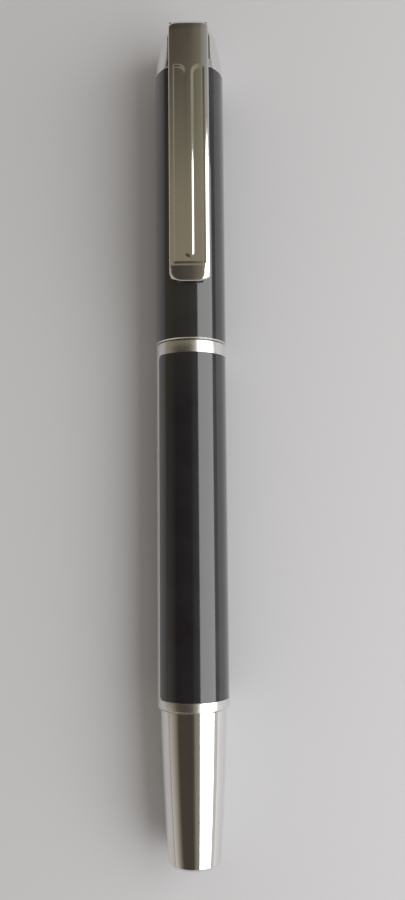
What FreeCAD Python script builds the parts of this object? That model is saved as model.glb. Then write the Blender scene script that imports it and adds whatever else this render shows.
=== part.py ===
import FreeCAD, Part
import math
import os

import Sketcher

from FreeCAD import Placement, Rotation, Vector

# A capped fountain pen that lies along Y, with the cap end towards +Y and the clip on top.
# The origin is on the surface that the pen lies on, under the middle of its length.
# In every sketch the pen's axis is the vertical axis, and heights along it start at the tail end.

doc = FreeCAD.newDocument("FountainPen")

# ---------------------------------------------------------------- driving dimensions (mm, degrees)

DIMENSIONS = {
    # outside of the barrel and tail
    "barrel_radius": 5.9,
    "barrel_wall": 0.8,
    "tail_length": 24.2,
    "tail_step": 0.43,
    "tail_end_radius": 4.25,
    "tail_belly": 13.5,
    "tail_belly_radius": 5.1,
    "tail_chamfer_length": 0.55,
    "tail_chamfer_width": 0.35,
    "tail_end_wall": 2.6,
    "tail_groove": 0.2,
    "tail_seat_width": 0.2,
    "tail_tenon_length": 6.0,
    "lower_ring_length": 1.45,
    "panel_length": 56.0,
    "upper_ring_length": 2.05,
    "wrap_depth": 0.25,
    "wrap_strip_angle": 24.0,
    "wrap_strip_direction": 14.0,
    "wrap_corner_radius": 0.75,
    "edge_break": 0.12,
    # joint between barrel and section
    "bush_length": 9.0,
    "bush_wall": 0.7,
    "coupling_length": 7.4,
    "coupling_wall": 0.5,
    "seal_radius": 0.28,
    "seal_setback": 1.2,
    # grip section
    "grip_length": 21.5,
    "collar_wall": 0.75,
    "tenon_length": 7.0,
    "tenon_wall": 0.3,
    "trim_ring_length": 2.95,
    "trim_wall": 0.5,
    "grip_step": 0.08,
    "grip_waist_radius": 4.25,
    "grip_lip_radius": 4.6,
    "grip_lip_length": 2.4,
    "grip_lip_crest": 1.0,
    "grip_lip_edge": 0.5,
    # nib, feed and ink path
    "housing_length": 16.2,
    "housing_end_wall": 1.0,
    "housing_inset": 0.3,
    "nib_exposed": 16.0,
    "nib_body_radius": 2.4,
    "nib_thickness": 0.25,
    "nib_tip_width": 0.32,
    "nib_straight": 4.6,
    "nib_tail": 8.0,
    "nib_skirt": 1.1,
    "nib_slit_width": 0.08,
    "nib_slit_length": 8.5,
    "breather_radius": 0.45,
    "tipping_radius": 0.32,
    "feed_setback": 2.6,
    "fin_count": 9,
    "fin_pitch": 0.8,
    "fin_slot_width": 0.35,
    "fin_slot_depth": 0.8,
    "ink_channel_width": 0.3,
    "ink_channel_depth": 0.4,
    "nipple_radius": 1.6,
    "nipple_bore_radius": 0.7,
    "nipple_length": 6.0,
    # converter
    "mouth_setback": 0.8,
    "mouth_plug_length": 2.0,
    "mouth_socket_depth": 6.6,
    "mouth_inset": 0.15,
    "channel_radius": 1.0,
    "tube_radius": 3.35,
    "tube_wall": 0.6,
    "tube_length": 32.0,
    "ferrule_wall": 0.3,
    "ferrule_length": 8.0,
    "ferrule_overhang": 4.0,
    "guide_length": 8.0,
    "nut_radius": 2.0,
    "nut_reach": 7.8,
    "nut_socket_depth": 1.5,
    "knob_radius": 3.3,
    "knob_length": 12.0,
    "knob_flute_count": 24,
    "knob_flute_radius": 0.22,
    "knob_end_wall": 1.2,
    "rod_radius": 1.2,
    "rod_length": 24.3,
    "piston_length": 3.2,
    "piston_lip": 1.0,
    "piston_groove_depth": 0.45,
    # cap
    "cap_step": 0.05,
    "cap_wall": 0.65,
    "nib_room": 4.98,
    "cap_lip_gap": 0.15,
    "lip_chamfer": 0.22,
    "clutch_setback": 1.0,
    "clutch_length": 1.2,
    "clutch_room": 0.3,
    "clutch_groove_depth": 0.2,
    "clutch_split_angle": 30.0,
    "inner_cap_length": 26.0,
    "inner_cap_end_wall": 0.7,
    # crown
    "crown_length": 8.45,
    "crown_shoulder_length": 6.8,
    "crown_shoulder_radius": 4.83,
    "crown_belly": 3.3,
    "crown_belly_radius": 5.56,
    "crown_edge_radius": 1.9,
    "crown_end_radius": 3.5,
    "crown_tenon_length": 3.0,
    "screw_radius": 1.05,
    "screw_head_radius": 2.3,
    "screw_head_length": 1.1,
    "screw_slot_width": 0.5,
    "screw_slot_depth": 0.5,
    "screw_reach": 2.2,
    "washer_radius": 2.6,
    "washer_thickness": 0.3,
    # clip
    "clip_length": 45.6,
    "clip_width": 6.7,
    "clip_thickness": 1.05,
    "clip_rise": 1.75,
    "clip_end_setback": 1.0,
    "clip_head_length": 5.6,
    "clip_head_depth": 3.95,
    "clip_head_bend": 2.4,
    "clip_tip_clearance": 0.25,
    "clip_tip_length": 2.2,
    "clip_lip_height": 0.8,
    "clip_tip_bend": 1.5,
    "clip_tip_slope": 1.2,
    "clip_belly_ramp": 1.4,
    "clip_corner_radius": 1.5,
    "clip_head_corner": 0.6,
    "clip_tab_width": 2.4,
    "clip_tab_thickness": 1.0,
    "clip_tab_depth": 2.0,
    "clip_tab_setback": 3.4,
    "clip_border": 0.7,
    "clip_recess_depth": 0.3,
    "clip_rib_width": 0.9,
    "clip_rib_end": 4.0,
    "clip_recess_start": 2.8,
    "clip_recess_top": 36.8,
    "clip_flare_radius": 1.3,
    # clearances
    "running_clearance": 0.05,
    "seal_clearance": 0.03,
    "section_gap": 0.05,
    "knob_gap": 0.1,
    "clip_clearance": 0.3,
    "clip_swing_clearance": 0.4,
    "liner_gap": 0.02,
    "feed_gap": 0.02,
    "nib_gap": 0.1,
    "lip_gap": 0.25,
    "tail_bore_gap": 0.3,
    "panel_gap": 0.03,
}

sheet = doc.addObject("Spreadsheet::Sheet", "Dims")
for row, (alias, size) in enumerate(DIMENSIONS.items(), start=1):
    sheet.set(f"A{row}", alias.replace("_", " "))
    sheet.set(f"B{row}", str(size))
    sheet.setAlias(f"B{row}", alias)
doc.recompute()


class Size:
    """A size in mm that carries the expression FreeCAD works it out from."""

    def __init__(self, value, formula):
        self.value = value
        self.formula = formula

    def combine(self, other, sign, value):
        other = as_size(other)
        return Size(value(self.value, other.value), f"({self.formula} {sign} {other.formula})")

    def __add__(self, other):
        return self.combine(other, "+", lambda a, b: a + b)

    def __sub__(self, other):
        return self.combine(other, "-", lambda a, b: a - b)

    def __mul__(self, other):
        return self.combine(other, "*", lambda a, b: a * b)

    def __truediv__(self, other):
        return self.combine(other, "/", lambda a, b: a / b)

    def __neg__(self):
        return Size(-self.value, f"(-{self.formula})")


def as_size(number):
    """Wraps a plain number, such as 0 or a factor of 2, as a Size."""
    return number if isinstance(number, Size) else Size(number, repr(number))


def dim(alias):
    """The Size that one cell of the sheet holds."""
    return Size(DIMENSIONS[alias], f"Dims.{alias}")


# ---------------------------------------------------------------- places along the axis (mm)

BARREL_REAR = dim("tail_length") + dim("tail_groove")
PANEL_REAR = BARREL_REAR + dim("lower_ring_length")
PANEL_FRONT = PANEL_REAR + dim("panel_length")
BARREL_FRONT = PANEL_FRONT + dim("upper_ring_length")
CAP_MOUTH = BARREL_FRONT + dim("cap_lip_gap")

SHOULDER = BARREL_FRONT + dim("section_gap")
TENON_REAR = SHOULDER - dim("tenon_length")
SEAL_AT = SHOULDER - dim("seal_setback")
TRIM_FRONT = SHOULDER + dim("trim_ring_length")
GRIP_FRONT = SHOULDER + dim("grip_length")
HOUSING_REAR = GRIP_FRONT - dim("housing_length")
FEED_REAR = HOUSING_REAR + dim("housing_end_wall")
NIB_TIP = GRIP_FRONT + dim("nib_exposed")
NIB_TAPER = GRIP_FRONT + dim("nib_straight")

MOUTH_FRONT = HOUSING_REAR - dim("knob_gap")
MOUTH_REAR = TENON_REAR - dim("mouth_setback")
TUBE_REAR = MOUTH_REAR - dim("tube_length")
FERRULE_REAR = TUBE_REAR - dim("ferrule_overhang")
KNOB_FRONT = FERRULE_REAR - dim("knob_gap")
KNOB_REAR = KNOB_FRONT - dim("knob_length")
PISTON_FRONT = MOUTH_REAR - dim("mouth_plug_length") - dim("knob_gap")
PISTON_REAR = PISTON_FRONT - dim("piston_length")

CLUTCH_REAR = CAP_MOUTH + dim("clutch_setback")
CLUTCH_FRONT = CLUTCH_REAR + dim("clutch_length")
SCREW_HEAD_REAR = NIB_TIP + dim("nib_room")
SCREW_HEAD_FRONT = SCREW_HEAD_REAR + dim("screw_head_length")
WASHER_FRONT = SCREW_HEAD_FRONT + dim("washer_thickness")
INNER_CAP_END = WASHER_FRONT + dim("inner_cap_end_wall")
CROWN_TENON_REAR = INNER_CAP_END + dim("liner_gap")
CROWN_BASE = CROWN_TENON_REAR + dim("crown_tenon_length")
CROWN_END = CROWN_BASE + dim("crown_length")
SCREW_END = CROWN_BASE + dim("screw_reach")

# ---------------------------------------------------------------- radii that follow others (mm)

CAP_RADIUS = dim("barrel_radius") + dim("cap_step")
AXIS_HEIGHT = CAP_RADIUS
TUBE_BORE_RADIUS = dim("tube_radius") - dim("tube_wall")
BARREL_BORE_RADIUS = dim("barrel_radius") - dim("barrel_wall")
WRAP_SEAT_RADIUS = dim("barrel_radius") - dim("wrap_depth")
CAP_BORE_RADIUS = CAP_RADIUS - dim("cap_wall")
TRIM_RADIUS = CAP_BORE_RADIUS - dim("clutch_room")
TRIM_SEAT_RADIUS = TRIM_RADIUS - dim("trim_wall")
INNER_CAP_BORE_RADIUS = dim("grip_lip_radius") + dim("lip_gap")
BUSH_BORE_RADIUS = BARREL_BORE_RADIUS - dim("bush_wall")
THREAD_RADIUS = BUSH_BORE_RADIUS - dim("running_clearance")
TENON_RADIUS = THREAD_RADIUS - dim("collar_wall")
SECTION_BORE_RADIUS = TENON_RADIUS - dim("tenon_wall")
HOUSING_BORE_RADIUS = dim("nib_body_radius") + dim("nib_thickness") + dim("nib_gap")
COUPLING_BORE_RADIUS = BARREL_BORE_RADIUS - dim("coupling_wall")
TAIL_FRONT_RADIUS = dim("barrel_radius") - dim("tail_step")
TAIL_SHOULDER_RADIUS = BARREL_BORE_RADIUS + dim("tail_seat_width")
TAIL_BORE_RADIUS = dim("knob_radius") + dim("tail_bore_gap")
SEAL_CENTRE_RADIUS = BUSH_BORE_RADIUS - dim("seal_clearance") - dim("seal_radius")
ROD_BORE_RADIUS = dim("rod_radius") + dim("running_clearance")

CLIP_TOP = CAP_RADIUS + dim("clip_rise")
CLIP_UNDERSIDE = CLIP_TOP - dim("clip_thickness")
CLIP_END = CROWN_END - dim("clip_end_setback")
CLIP_LIP = CLIP_END - dim("clip_length")
HEAD_REAR = CLIP_END - dim("clip_head_length")
HEAD_BOTTOM = CLIP_TOP - dim("clip_head_depth")
SLOT_FLOOR = HEAD_BOTTOM - dim("clip_swing_clearance")
SLOT_REAR = HEAD_REAR - dim("clip_clearance")
TAB_FRONT = CLIP_END - dim("clip_tab_setback")
TAB_REAR = TAB_FRONT - dim("clip_tab_thickness")
TAB_BOTTOM = HEAD_BOTTOM - dim("clip_tab_depth")


# ---------------------------------------------------------------- sketches and features

class Arc:
    """Bends an outline's edge to this radius. The edge turns left (1) or right (-1)."""

    def __init__(self, radius, turn=1):
        self.radius = as_size(radius)
        self.turn = turn

    def edge(self, start, end):
        """The arc from start to end, always drawn anticlockwise, as a sketch stores it."""
        half = (end - start) * 0.5
        across = Vector(-half.y, half.x, 0).normalize() * self.turn
        depth = math.sqrt(max(self.radius.value ** 2 - half.Length ** 2, 0))
        middle = start + half + across * (depth - self.radius.value)
        return Part.Arc(start, middle, end) if self.turn > 0 else Part.Arc(end, middle, start)


def origin_feature(body, role):
    return next(item for item in body.Origin.OriginFeatures if item.Role == role)


def add_body(name):
    """A body whose own Y axis is the pen's axis, with the tail end at zero."""
    body = doc.addObject("PartDesign::Body", name)
    body.Label = name
    body.setExpression("Placement.Base.y", (-CROWN_END / 2).formula)
    body.setExpression("Placement.Base.z", AXIS_HEIGHT.formula)
    return body


def add_sketch(body, name, plane="XY_Plane", lift=None):
    """A sketch on one of the body's own planes, raised off it by lift."""
    sketch = body.newObject("Sketcher::SketchObject", f"{body.Label}_{name}")
    sketch.AttachmentSupport = [(origin_feature(body, plane), "")]
    sketch.MapMode = "FlatFace"
    if lift is not None:
        sketch.AttachmentOffset = Placement(Vector(0, 0, lift.value), Rotation())
        sketch.setExpression("AttachmentOffset.Base.z", lift.formula)
    return sketch


def fix_point(sketch, edge, end, point):
    """Holds one end of an edge by a dimension each way, or on an axis where one is 0."""
    for kind, size, axis in zip(("DistanceX", "DistanceY"), point, (-2, -1)):
        size = as_size(size)
        if size.formula == "0":
            sketch.addConstraint(Sketcher.Constraint("PointOnObject", edge, end, axis))
            continue
        index = sketch.addConstraint(Sketcher.Constraint(kind, -1, 1, edge, end, size.value))
        sketch.setExpression(f"Constraints[{index}]", size.formula)


def add_outline(sketch, points):
    """Draws a closed outline of (x, y) points. An Arc as third item bends the edge after it."""
    first = sketch.GeometryCount
    places = [Vector(as_size(point[0]).value, as_size(point[1]).value, 0) for point in points]
    ends = []
    for number, point in enumerate(points):
        start, end = places[number], places[(number + 1) % len(places)]
        bend = point[2] if len(point) > 2 else None
        sketch.addGeometry(bend.edge(start, end) if bend else Part.LineSegment(start, end), False)
        ends.append((2, 1) if bend and bend.turn < 0 else (1, 2))
    for number, point in enumerate(points):
        after = (number + 1) % len(points)
        sketch.addConstraint(Sketcher.Constraint(
            "Coincident", first + number, ends[number][1], first + after, ends[after][0]))
        fix_point(sketch, first + number, ends[number][0], point[:2])
        if len(point) > 2:
            radius = point[2].radius
            index = sketch.addConstraint(Sketcher.Constraint("Radius", first + number, radius.value))
            sketch.setExpression(f"Constraints[{index}]", radius.formula)


def add_circle(sketch, x, y, radius):
    """Draws a circle whose centre and radius are bound to sizes."""
    x, y, radius = as_size(x), as_size(y), as_size(radius)
    centre = Vector(x.value, y.value, 0)
    edge = sketch.addGeometry(Part.Circle(centre, Vector(0, 0, 1), radius.value), False)
    fix_point(sketch, edge, 3, (x, y))
    index = sketch.addConstraint(Sketcher.Constraint("Radius", edge, radius.value))
    sketch.setExpression(f"Constraints[{index}]", radius.formula)


def box_outline(left, right, bottom, top):
    return [(left, bottom), (right, bottom), (right, top), (left, top)]


def turned(name, points):
    """A body turned about the pen's axis from an outline of (radius, height) points."""
    body = add_body(name)
    sketch = add_sketch(body, "outline")
    add_outline(sketch, points)
    feature = body.newObject("PartDesign::Revolution", f"{name}_turning")
    feature.Profile = sketch
    feature.ReferenceAxis = (sketch, ["V_Axis"])
    feature.Angle = 360
    doc.recompute()
    return body


def sleeve(name, inner, outer, rear, front):
    """A plain tube between two heights, with its outer edges broken."""
    edge = dim("edge_break")
    return turned(name, [
        (inner, rear),
        (outer - edge, rear),
        (outer, rear + edge),
        (outer, front - edge),
        (outer - edge, front),
        (inner, front),
    ])


def add_pad(body, sketch, length):
    """Pads a sketch by half of length to each side of its plane."""
    feature = body.newObject("PartDesign::Pad", f"{sketch.Label}_pad")
    feature.Profile = sketch
    feature.Midplane = True
    feature.setExpression("Length", length.formula)
    doc.recompute()
    return feature


def add_pocket(body, sketch, length, midplane=True):
    """Cuts a sketch out of a body and makes sure that something was cut."""
    before = body.Shape.Volume
    feature = body.newObject("PartDesign::Pocket", f"{sketch.Label}_pocket")
    feature.Profile = sketch
    feature.Midplane = midplane
    feature.setExpression("Length", length.formula)
    doc.recompute()
    if not body.Shape.Volume < before:
        raise RuntimeError(f"{feature.Label} cuts nothing")
    return feature


def turn_to_strip(body):
    """Turns a body about the pen's axis so that the lengthwise strip faces its own way."""
    angle = DIMENSIONS["wrap_strip_direction"]
    body.Placement = Placement(body.Placement.Base, Rotation(Vector(0, 1, 0), angle))
    body.setExpression("Placement.Rotation.Angle", "Dims.wrap_strip_direction * 1 deg")


def corner_edges(shape, length):
    """Names of the short radial edges at the panel's corners, which are as long as it is deep."""
    names = []
    for number, edge in enumerate(shape.Edges, start=1):
        start, end = edge.Vertexes[0].Point, edge.Vertexes[-1].Point
        level = abs(start.y - end.y) < 1e-6
        if level and edge.Curve.TypeId == "Part::GeomLine" and abs(edge.Length - length) < 1e-6:
            names.append(f"Edge{number}")
    return names


def add_corner_fillets(body, feature):
    """Rounds the four corners of the panel or of its seat."""
    fillet = body.newObject("PartDesign::Fillet", f"{body.Label}_corners")
    fillet.Base = (feature, corner_edges(feature.Shape, DIMENSIONS["wrap_depth"]))
    fillet.setExpression("Radius", "Dims.wrap_corner_radius")
    doc.recompute()


# ---------------------------------------------------------------- barrel

def make_barrel_tube():
    """The metal frame: a tube with a wide shallow seat that leaves two rings and one strip."""
    edge = dim("edge_break")
    outer = dim("barrel_radius")
    body = turned("barrel_tube", [
        (BARREL_BORE_RADIUS, BARREL_REAR),
        (outer - edge, BARREL_REAR),
        (outer, BARREL_REAR + edge),
        (outer, BARREL_FRONT - edge),
        (outer - edge, BARREL_FRONT),
        (BARREL_BORE_RADIUS, BARREL_FRONT),
    ])
    before = body.Shape.Volume
    sketch = add_sketch(body, "seat")
    add_outline(sketch, box_outline(WRAP_SEAT_RADIUS, outer, PANEL_REAR, PANEL_FRONT))
    seat = body.newObject("PartDesign::Groove", "barrel_tube_seat_groove")
    seat.Profile = sketch
    seat.ReferenceAxis = (sketch, ["V_Axis"])
    seat.Midplane = True
    seat.setExpression("Angle", "360 - Dims.wrap_strip_angle")
    doc.recompute()
    if not body.Shape.Volume < before:
        raise RuntimeError("the panel's seat cuts nothing")
    add_corner_fillets(body, seat)
    turn_to_strip(body)


def make_barrel_wrap():
    """The C-shaped black panel that fills the seat in the frame."""
    body = add_body("barrel_wrap")
    gap = dim("panel_gap")
    sketch = add_sketch(body, "outline")
    add_outline(sketch, box_outline(
        WRAP_SEAT_RADIUS, dim("barrel_radius"), PANEL_REAR + gap, PANEL_FRONT - gap))
    panel = body.newObject("PartDesign::Revolution", "barrel_wrap_turning")
    panel.Profile = sketch
    panel.ReferenceAxis = (sketch, ["V_Axis"])
    panel.Midplane = True
    side_gap = "2 * Dims.panel_gap / Dims.barrel_radius * 180 / pi"
    panel.setExpression("Angle", f"360 - Dims.wrap_strip_angle - {side_gap}")
    doc.recompute()
    add_corner_fillets(body, panel)
    turn_to_strip(body)


def make_tail():
    """The hollow chrome tail, and the ring inside the barrel that its tenon screws into."""
    tenon = COUPLING_BORE_RADIUS
    bore = TAIL_BORE_RADIUS
    end_radius = dim("tail_end_radius")
    front = BARREL_REAR + dim("tail_tenon_length")
    turned("tail_cone", [
        (0, 0),
        (end_radius - dim("tail_chamfer_width"), 0),
        (end_radius, dim("tail_chamfer_length")),
        (dim("tail_belly_radius"), dim("tail_belly")),
        (TAIL_FRONT_RADIUS, dim("tail_length")),
        (TAIL_SHOULDER_RADIUS, dim("tail_length")),
        (TAIL_SHOULDER_RADIUS, BARREL_REAR),
        (tenon, BARREL_REAR),
        (tenon, front),
        (bore, front),
        (bore, dim("tail_end_wall")),
        (0, dim("tail_end_wall")),
    ])
    coupling_front = BARREL_REAR + dim("coupling_length")
    sleeve("tail_coupling", tenon, BARREL_BORE_RADIUS, BARREL_REAR, coupling_front)


def make_thread_bush():
    """The threaded insert in the mouth of the barrel."""
    rear = BARREL_FRONT - dim("bush_length")
    sleeve("barrel_thread_bush", BUSH_BORE_RADIUS, BARREL_BORE_RADIUS, rear, BARREL_FRONT)


# ---------------------------------------------------------------- grip section

def make_section():
    bore = SECTION_BORE_RADIUS
    turned("grip_section", [
        (bore, TENON_REAR),
        (TENON_RADIUS, TENON_REAR),
        (TENON_RADIUS, SHOULDER),
        (TRIM_SEAT_RADIUS, SHOULDER),
        (TRIM_SEAT_RADIUS, TRIM_FRONT),
        (TRIM_RADIUS - dim("grip_step"), TRIM_FRONT),
        (dim("grip_waist_radius"), GRIP_FRONT - dim("grip_lip_length")),
        (dim("grip_lip_radius"), GRIP_FRONT - dim("grip_lip_crest"), Arc(dim("grip_lip_crest"))),
        (dim("grip_lip_radius") - dim("grip_lip_edge"), GRIP_FRONT),
        (bore, GRIP_FRONT),
    ])
    sleeve("grip_trim_ring", TRIM_SEAT_RADIUS, TRIM_RADIUS, SHOULDER, TRIM_FRONT)


def make_thread_collar():
    """The section's threaded collar, with the groove that carries the seal ring."""
    half_groove = dim("seal_radius") + dim("seal_clearance")
    groove_floor = SEAL_CENTRE_RADIUS - half_groove
    rear = TENON_REAR + dim("edge_break")
    turned("section_thread_collar", [
        (TENON_RADIUS, rear),
        (THREAD_RADIUS, rear),
        (THREAD_RADIUS, SEAL_AT - half_groove),
        (groove_floor, SEAL_AT - half_groove),
        (groove_floor, SEAL_AT + half_groove),
        (THREAD_RADIUS, SEAL_AT + half_groove),
        (THREAD_RADIUS, SHOULDER),
        (TENON_RADIUS, SHOULDER),
    ])


def make_seal_ring():
    """The rubber ring that keeps the barrel joint tight."""
    body = add_body("section_seal_ring")
    sketch = add_sketch(body, "outline")
    add_circle(sketch, SEAL_CENTRE_RADIUS, SEAL_AT, dim("seal_radius"))
    ring = body.newObject("PartDesign::Revolution", "section_seal_ring_turning")
    ring.Profile = sketch
    ring.ReferenceAxis = (sketch, ["V_Axis"])
    ring.Angle = 360


# ---------------------------------------------------------------- nib and feed

def make_nib_housing():
    """The sleeve that holds feed and nib in the section, and the ink nipple in its end wall."""
    outer = SECTION_BORE_RADIUS
    front = GRIP_FRONT - dim("housing_inset")
    turned("nib_housing", [
        (dim("nipple_radius"), HOUSING_REAR),
        (outer, HOUSING_REAR),
        (outer, front),
        (HOUSING_BORE_RADIUS, front),
        (HOUSING_BORE_RADIUS, FEED_REAR),
        (dim("nipple_radius"), FEED_REAR),
    ])
    nipple_rear = FEED_REAR - dim("nipple_length")
    sleeve("ink_nipple", dim("nipple_bore_radius"), dim("nipple_radius"), nipple_rear, FEED_REAR)


def nib_inner_radius(setback):
    """Radius of the nib's inner face at this distance behind its tip, within the taper."""
    fall = dim("nib_body_radius") - dim("nib_tip_width")
    return dim("nib_tip_width") + fall * setback / (NIB_TIP - NIB_TAPER)


def make_feed():
    """The finned feed: a tapered core with an ink channel on top and a comb of fins below."""
    radius = dim("nib_body_radius") - dim("feed_gap")
    nose = NIB_TIP - dim("feed_setback")
    body = turned("feed", [
        (0, FEED_REAR),
        (radius, FEED_REAR),
        (radius, NIB_TAPER),
        (nib_inner_radius(dim("feed_setback")) - dim("feed_gap"), nose),
        (0, nose),
    ])
    channel = add_sketch(body, "channel", "YZ_Plane")
    channel_floor = radius - dim("ink_channel_depth")
    add_outline(channel, box_outline(FEED_REAR, NIB_TAPER, channel_floor, radius))
    add_pocket(body, channel, dim("ink_channel_width"))
    slot = add_sketch(body, "fin_slot", "YZ_Plane")
    slot_rear = GRIP_FRONT + dim("fin_pitch") / 2
    slot_top = dim("fin_slot_depth") - radius
    add_outline(slot, box_outline(
        slot_rear, slot_rear + dim("fin_slot_width"), -radius, slot_top))
    pocket = add_pocket(body, slot, radius * 2)
    fins = body.newObject("PartDesign::LinearPattern", "feed_fins")
    fins.Originals = [pocket]
    fins.Direction = (slot, ["H_Axis"])
    fins.setExpression("Length", "Dims.fin_pitch * (Dims.fin_count - 1)")
    fins.setExpression("Occurrences", "Dims.fin_count")
    body.Tip = fins


def make_nib():
    """The nib: a tapered shell whose lower part is cut away, with a slit and a breather hole."""
    inner, thickness = dim("nib_body_radius"), dim("nib_thickness")
    rear = GRIP_FRONT - dim("nib_tail")
    body = turned("nib", [
        (inner, rear),
        (inner + thickness, rear),
        (inner + thickness, NIB_TAPER),
        (dim("nib_tip_width") + thickness, NIB_TIP),
        (dim("nib_tip_width"), NIB_TIP),
        (inner, NIB_TAPER),
    ])
    below = add_sketch(body, "sides", "YZ_Plane")
    floor = -(inner + thickness * 2)
    shoulder = NIB_TAPER + (NIB_TIP - NIB_TAPER) / 4
    add_outline(below, [
        (rear - thickness, floor),
        (NIB_TIP + thickness, floor),
        (NIB_TIP + thickness, dim("nib_tip_width") / 2),
        (shoulder, dim("nib_skirt") / 2, Arc(dim("nib_skirt") * 4)),
        (NIB_TAPER, -dim("nib_skirt")),
        (rear - thickness, -dim("nib_skirt")),
    ])
    add_pocket(body, below, (inner + thickness) * 2)
    slit = add_sketch(body, "slit")
    slit_rear = NIB_TIP - dim("nib_slit_length")
    half = dim("nib_slit_width") / 2
    add_outline(slit, box_outline(-half, half, slit_rear, NIB_TIP + thickness))
    add_pocket(body, slit, (inner + thickness) * 2)
    hole = add_sketch(body, "breather")
    add_circle(hole, 0, slit_rear, dim("breather_radius"))
    add_pocket(body, hole, (inner + thickness) * 2)


def make_nib_tip():
    """The hard ball at the end of the nib."""
    ball = doc.addObject("Part::Sphere", "nib_tip")
    ball.Label = "nib_tip"
    height = AXIS_HEIGHT + dim("nib_tip_width") + dim("nib_thickness") / 2
    ball.setExpression("Radius", "Dims.tipping_radius")
    ball.setExpression("Placement.Base.y", (NIB_TIP + dim("tipping_radius") - CROWN_END / 2).formula)
    ball.setExpression("Placement.Base.z", height.formula)
    return ball


# ---------------------------------------------------------------- converter

def make_converter():
    """The fixed parts of the piston converter: mouthpiece, clear tube, ferrule and guide."""
    nipple_bore = dim("nipple_radius") + dim("running_clearance")
    socket_end = MOUTH_FRONT - dim("mouth_socket_depth")
    outer = SECTION_BORE_RADIUS - dim("mouth_inset")
    plug_rear = MOUTH_REAR - dim("mouth_plug_length")
    turned("converter_mouth", [
        (dim("channel_radius"), plug_rear),
        (TUBE_BORE_RADIUS, plug_rear),
        (TUBE_BORE_RADIUS, MOUTH_REAR),
        (outer, MOUTH_REAR),
        (outer, MOUTH_FRONT),
        (nipple_bore, MOUTH_FRONT),
        (nipple_bore, socket_end),
        (dim("channel_radius"), socket_end),
    ])
    sleeve("converter_tube", TUBE_BORE_RADIUS, dim("tube_radius"), TUBE_REAR, MOUTH_REAR)
    ferrule_radius = dim("tube_radius") + dim("ferrule_wall")
    ferrule_front = FERRULE_REAR + dim("ferrule_length")
    sleeve("converter_ferrule", dim("tube_radius"), ferrule_radius, FERRULE_REAR, ferrule_front)
    nut_bore = dim("nut_radius") + dim("running_clearance")
    nut_bore_end = KNOB_FRONT + dim("nut_reach") + dim("knob_gap")
    guide_front = TUBE_REAR + dim("guide_length")
    turned("converter_guide", [
        (nut_bore, FERRULE_REAR),
        (dim("tube_radius"), FERRULE_REAR),
        (dim("tube_radius"), TUBE_REAR),
        (TUBE_BORE_RADIUS, TUBE_REAR),
        (TUBE_BORE_RADIUS, guide_front),
        (ROD_BORE_RADIUS, guide_front),
        (ROD_BORE_RADIUS, nut_bore_end),
        (nut_bore, nut_bore_end),
    ])


def make_knob():
    """The fluted knob, hollow for the piston rod, and the drive nut that it turns."""
    edge = dim("edge_break")
    radius = dim("knob_radius")
    socket_end = KNOB_FRONT - dim("nut_socket_depth")
    bore_end = KNOB_REAR + dim("knob_end_wall")
    body = turned("converter_knob", [
        (0, KNOB_REAR),
        (radius - edge * 2, KNOB_REAR),
        (radius, KNOB_REAR + edge * 2),
        (radius, KNOB_FRONT - edge),
        (radius - edge, KNOB_FRONT),
        (dim("nut_radius"), KNOB_FRONT),
        (dim("nut_radius"), socket_end),
        (ROD_BORE_RADIUS, socket_end),
        (ROD_BORE_RADIUS, bore_end),
        (0, bore_end),
    ])
    flute = add_sketch(body, "flute", "XZ_Plane")
    add_circle(flute, radius, 0, dim("knob_flute_radius"))
    pocket = add_pocket(body, flute, CROWN_END * 2)
    flutes = body.newObject("PartDesign::PolarPattern", "knob_flutes")
    flutes.Originals = [pocket]
    flutes.Axis = (origin_feature(body, "Y_Axis"), [""])
    flutes.Angle = 360
    flutes.setExpression("Occurrences", "Dims.knob_flute_count")
    body.Tip = flutes
    nut_front = KNOB_FRONT + dim("nut_reach")
    sleeve("converter_drive_nut", ROD_BORE_RADIUS, dim("nut_radius"), socket_end, nut_front)


def make_piston():
    """The piston rod and the double-lipped seal on its front."""
    rod_rear = PISTON_REAR - dim("rod_length")
    turned("piston_rod", box_outline(0, dim("rod_radius"), rod_rear, PISTON_REAR))
    outer = TUBE_BORE_RADIUS - dim("running_clearance")
    waist = outer - dim("piston_groove_depth")
    turned("piston_seal", [
        (0, PISTON_REAR),
        (outer, PISTON_REAR),
        (outer, PISTON_REAR + dim("piston_lip")),
        (waist, PISTON_REAR + dim("piston_lip")),
        (waist, PISTON_FRONT - dim("piston_lip")),
        (outer, PISTON_FRONT - dim("piston_lip")),
        (outer, PISTON_FRONT),
        (0, PISTON_FRONT),
    ])


# ---------------------------------------------------------------- cap

def make_cap_tube():
    """The black cap tube, chamfered at its mouth and grooved inside for the clutch ring."""
    groove_radius = CAP_BORE_RADIUS + dim("clutch_groove_depth")
    side = dim("running_clearance")
    turned("cap_tube", [
        (CAP_BORE_RADIUS, CAP_MOUTH),
        (CAP_RADIUS - dim("lip_chamfer"), CAP_MOUTH),
        (CAP_RADIUS, CAP_MOUTH + dim("lip_chamfer")),
        (CAP_RADIUS, CROWN_BASE),
        (CAP_BORE_RADIUS, CROWN_BASE),
        (CAP_BORE_RADIUS, CLUTCH_FRONT + side),
        (groove_radius, CLUTCH_FRONT + side),
        (groove_radius, CLUTCH_REAR - side),
        (CAP_BORE_RADIUS, CLUTCH_REAR - side),
    ])


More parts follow.
